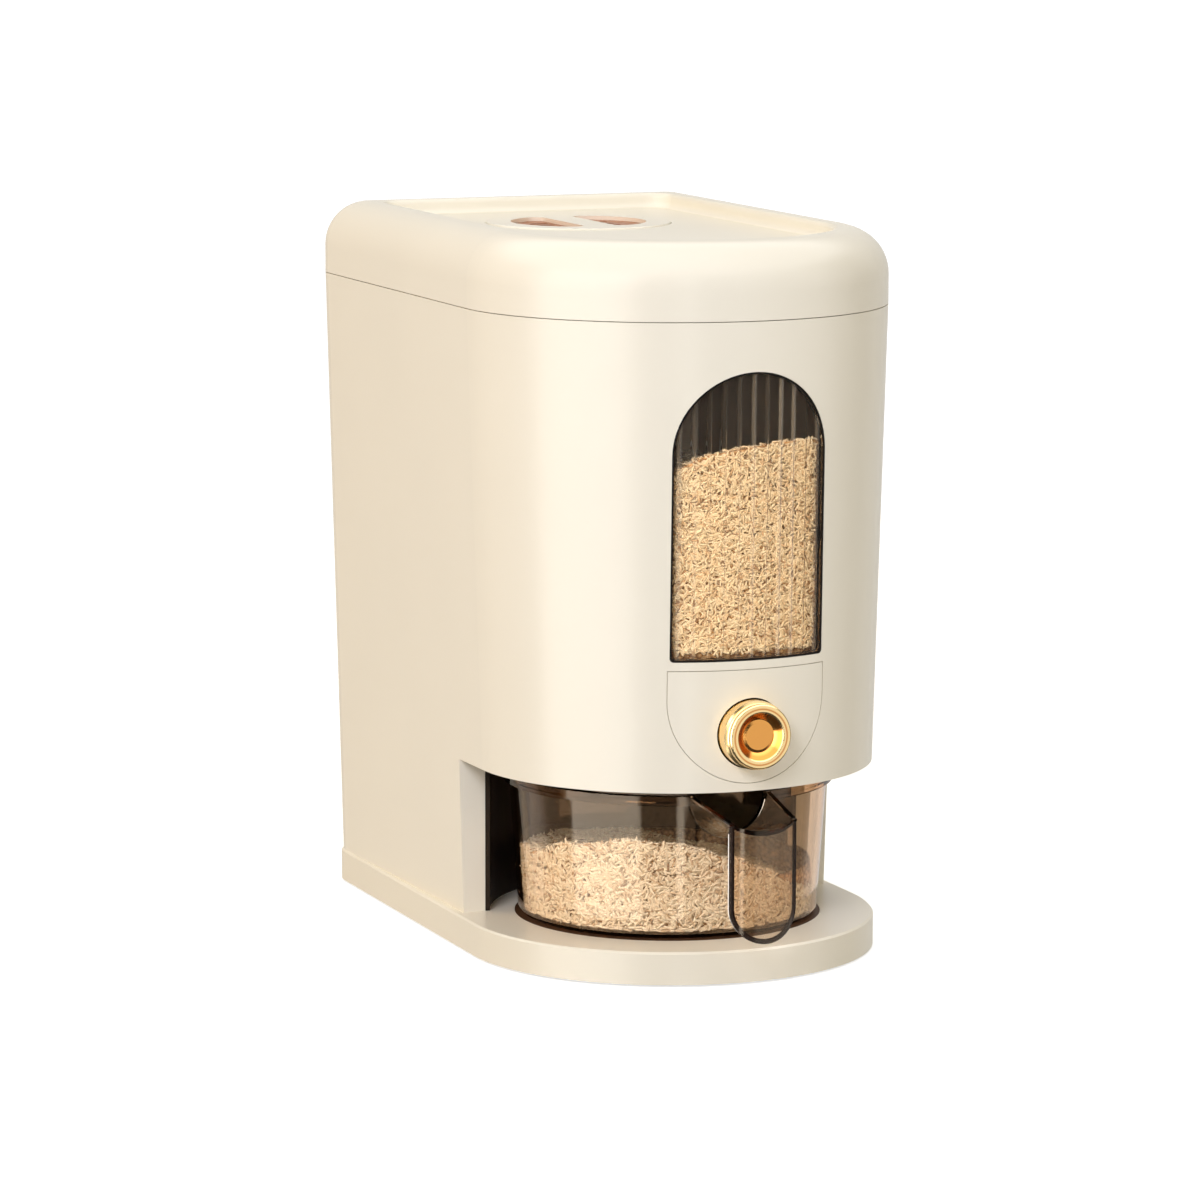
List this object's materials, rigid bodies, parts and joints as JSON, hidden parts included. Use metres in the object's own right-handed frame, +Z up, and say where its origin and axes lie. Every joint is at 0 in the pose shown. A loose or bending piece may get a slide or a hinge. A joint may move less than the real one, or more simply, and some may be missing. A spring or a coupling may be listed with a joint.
{
  "type": "rice dispenser",
  "caption": "Countertop rice bin with an arched window, a push button that drops rice into a clear round pull-out cup, and a hinged lid with a moisture box.",
  "frame": {"origin": "middle of the whole part's footprint, at floor level under the feet", "axes": "+Z up, -Y towards the front with the button and the cup's grip, +X towards the right of someone who faces the front"},
  "size_m": [0.21, 0.3474, 0.3524],
  "materials": {
    "shell": "satin cream moulding",
    "base": "satin cream moulding",
    "cover": "matt moulding",
    "rubber_pad": "matt",
    "steel": "plain",
    "dark_lining": "fine grain",
    "inner": "matt moulding",
    "dark_trim": "matt",
    "smoky": "clear smoky moulding",
    "gold": "polished gold finish",
    "amber": "clear amber moulding",
    "silicone": "soft",
    "silicone_dark": "soft",
    "pack": "woven"
  },
  "bodies": {
    "stand": {"base_plate": "base", "base_cover": "cover", "foot_pads": "rubber_pad", "base_screws": "steel", "seat_ring": "silicone_dark", "body_shell": "shell", "bay_lining": "dark_lining", "bay_deck": "dark_lining", "deck_screws": "steel", "hopper_floor": "inner", "outlet_spout": "dark_trim", "gate_track": "inner", "window_pane": "smoky", "window_gasket": "dark_trim", "window_frame": "inner", "button_plate": "shell", "button_guide": "inner", "return_spring": "steel", "hinge_pins": "steel"},
    "button": {"push_button": "gold", "push_stem": "inner", "stem_screw": "steel", "gate": "inner"},
    "cup": {"rice_cup": "amber"},
    "lid": {"lid_shell": "shell", "lid_liner": "inner", "lid_seal": "silicone", "liner_screws": "steel"},
    "moisture_box": {"moisture_box": "inner", "desiccant_pack": "pack"},
    "moisture_cap": {"moisture_cap": "shell", "cap_inserts": "gold"}
  },
  "joints": [
    {"name": "lid_hinge", "type": "hinge", "parent": "stand", "child": "lid", "pos_m": [0, 0.17055, 0.3162], "axis": [-1, 0, 0], "range_deg": [0, 95]},
    {"name": "button_press", "type": "slide", "parent": "stand", "child": "button", "axis": [0, 1, 0], "range_m": [0, 0.009], "stiffness_N_per_m": 400, "springref_m": -0.004, "deforming": ["return_spring"]},
    {"name": "cup_pull", "type": "slide", "parent": "stand", "child": "cup", "axis": [0, -1, 0], "range_m": [0, 0.195]},
    {"name": "moisture_box_lift", "type": "slide", "parent": "lid", "child": "moisture_box", "axis": [0, 0, 1], "range_m": [0, 0.04]},
    {"name": "moisture_cap_turn", "type": "hinge", "parent": "moisture_box", "child": "moisture_cap", "pos_m": [0, 0.06555, 0.347], "axis": [0, 0, 1], "range_deg": [0, 60]}
  ]
}
